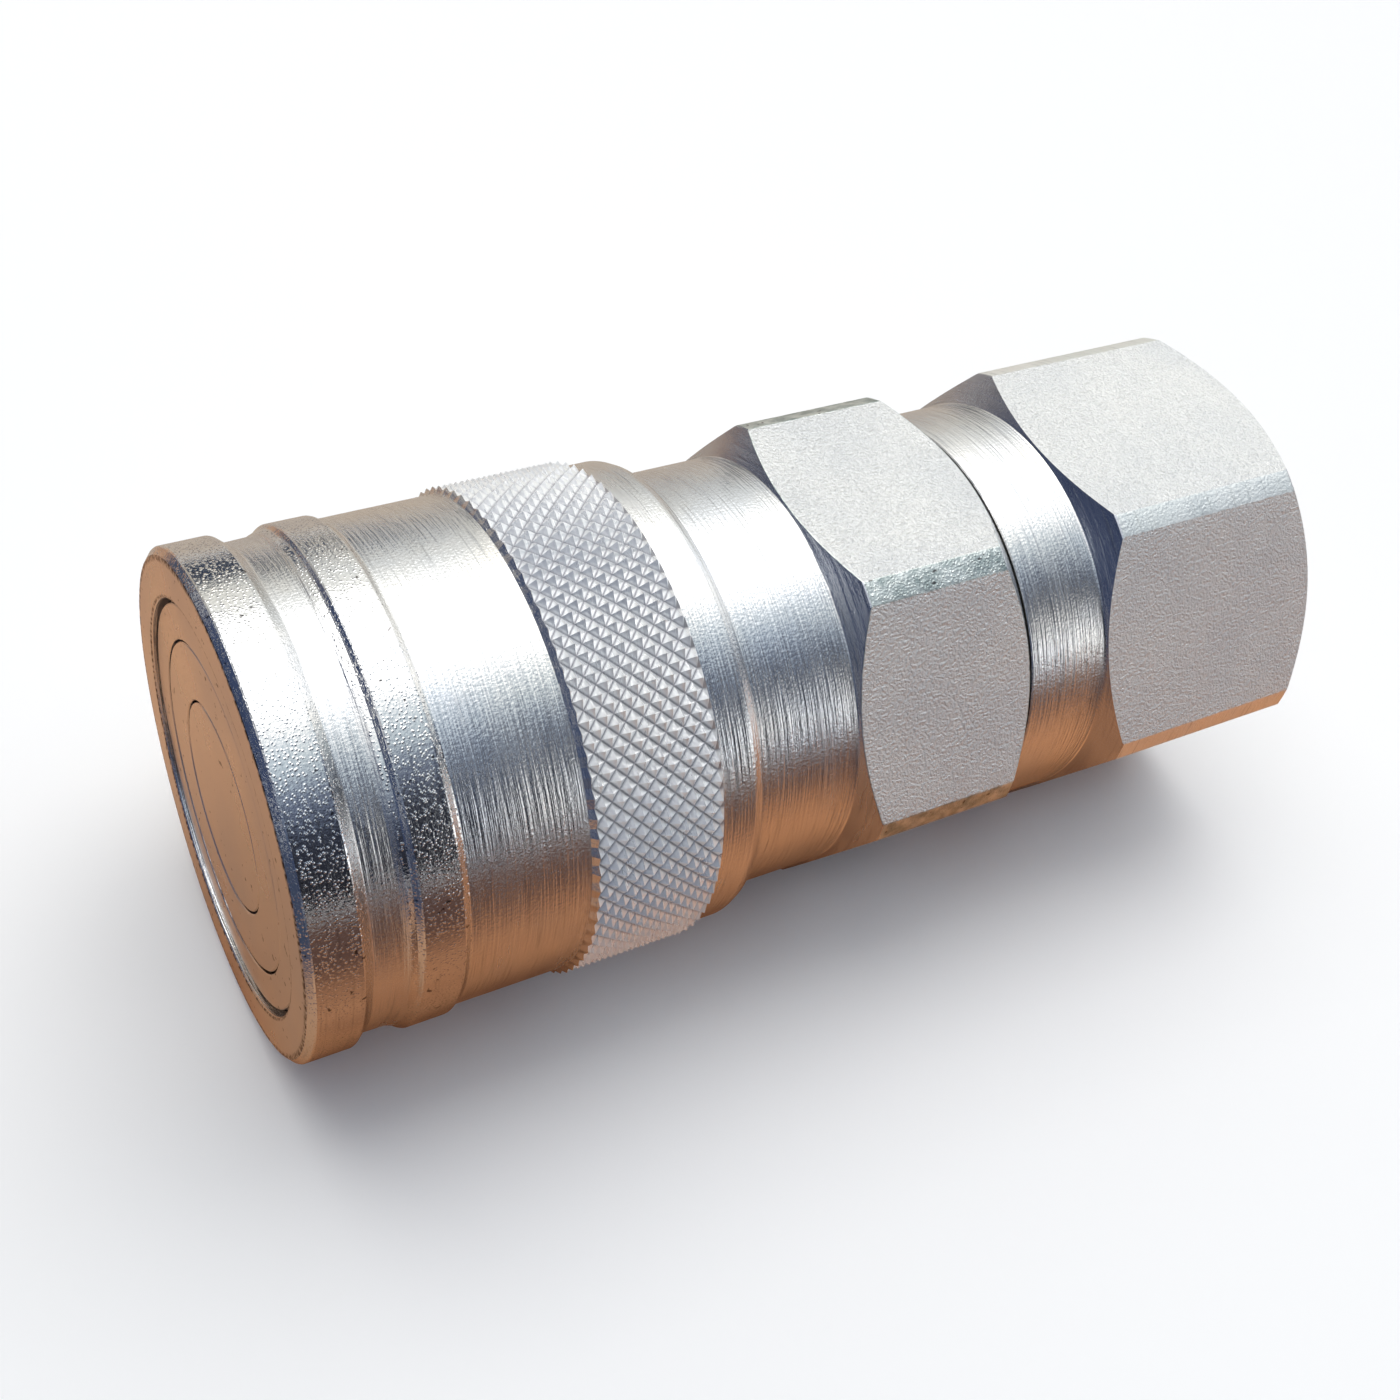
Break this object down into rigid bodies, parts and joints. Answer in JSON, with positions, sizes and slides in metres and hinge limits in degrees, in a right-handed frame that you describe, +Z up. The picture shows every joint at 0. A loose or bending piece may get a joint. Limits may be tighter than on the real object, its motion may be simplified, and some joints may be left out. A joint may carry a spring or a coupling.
{
  "type": "hydraulic quick disconnect coupler",
  "caption": "Flat-face hydraulic quick coupler socket: knurled spring-loaded locking sleeve, sliding valve face and a threaded hose port between two wrench hexagons.",
  "frame": {"origin": "on the coupler's axis, in the plane of the locking sleeve's front face", "axes": "+X along the axis towards the threaded hose port, +Z up, square to one wrench flat of each hexagon"},
  "size_m": [0.0884, 0.0383, 0.038],
  "materials": {
    "zinc_steel": "bright zinc plated, turned",
    "zinc_sleeve": "bright zinc plated, knurled grip",
    "valve_steel": "machined and zinc plated",
    "ball_steel": "polished ball steel",
    "spring_steel": "oiled spring wire",
    "seal_rubber": "nitrile, satin",
    "backup_plastic": "fluoropolymer, matt"
  },
  "bodies": {
    "coupler": {"coupler_body": "zinc_steel", "rear_adapter": "zinc_steel", "valve_stem": "valve_steel", "stem_spider": "valve_steel", "stem_nut": "valve_steel", "stem_washer": "spring_steel", "locking_balls": "ball_steel", "sleeve_retaining_ring": "spring_steel", "spider_retaining_ring": "spring_steel", "sleeve_spring": "spring_steel", "valve_spring": "spring_steel", "valve_spring_seat": "valve_steel", "nose_seal": "seal_rubber", "nose_backup_ring": "backup_plastic", "valve_guide_ring": "backup_plastic", "stem_head_seal": "seal_rubber", "stem_backup_ring": "backup_plastic", "adapter_seal": "seal_rubber", "adapter_backup_ring": "backup_plastic"},
    "spring_carrier": {"spring_washer": "valve_steel"},
    "sleeve": {"locking_sleeve": "zinc_sleeve"},
    "valve": {"valve_sleeve": "valve_steel"}
  },
  "joints": [
    {"name": "sleeve_slide", "type": "slide", "parent": "coupler", "child": "spring_carrier", "axis": [1, 0, 0], "range_m": [0, 0.003], "stiffness_N_per_m": 4000, "springref_m": -0.006, "deforming": ["sleeve_spring"]},
    {"name": "sleeve_turn", "type": "hinge", "parent": "spring_carrier", "child": "sleeve", "pos_m": [0.0164, 0, 0], "axis": [1, 0, 0], "continuous": true},
    {"name": "valve_slide", "type": "slide", "parent": "coupler", "child": "valve", "axis": [1, 0, 0], "range_m": [0, 0.016], "stiffness_N_per_m": 2500, "springref_m": -0.008, "deforming": ["valve_spring"]}
  ]
}
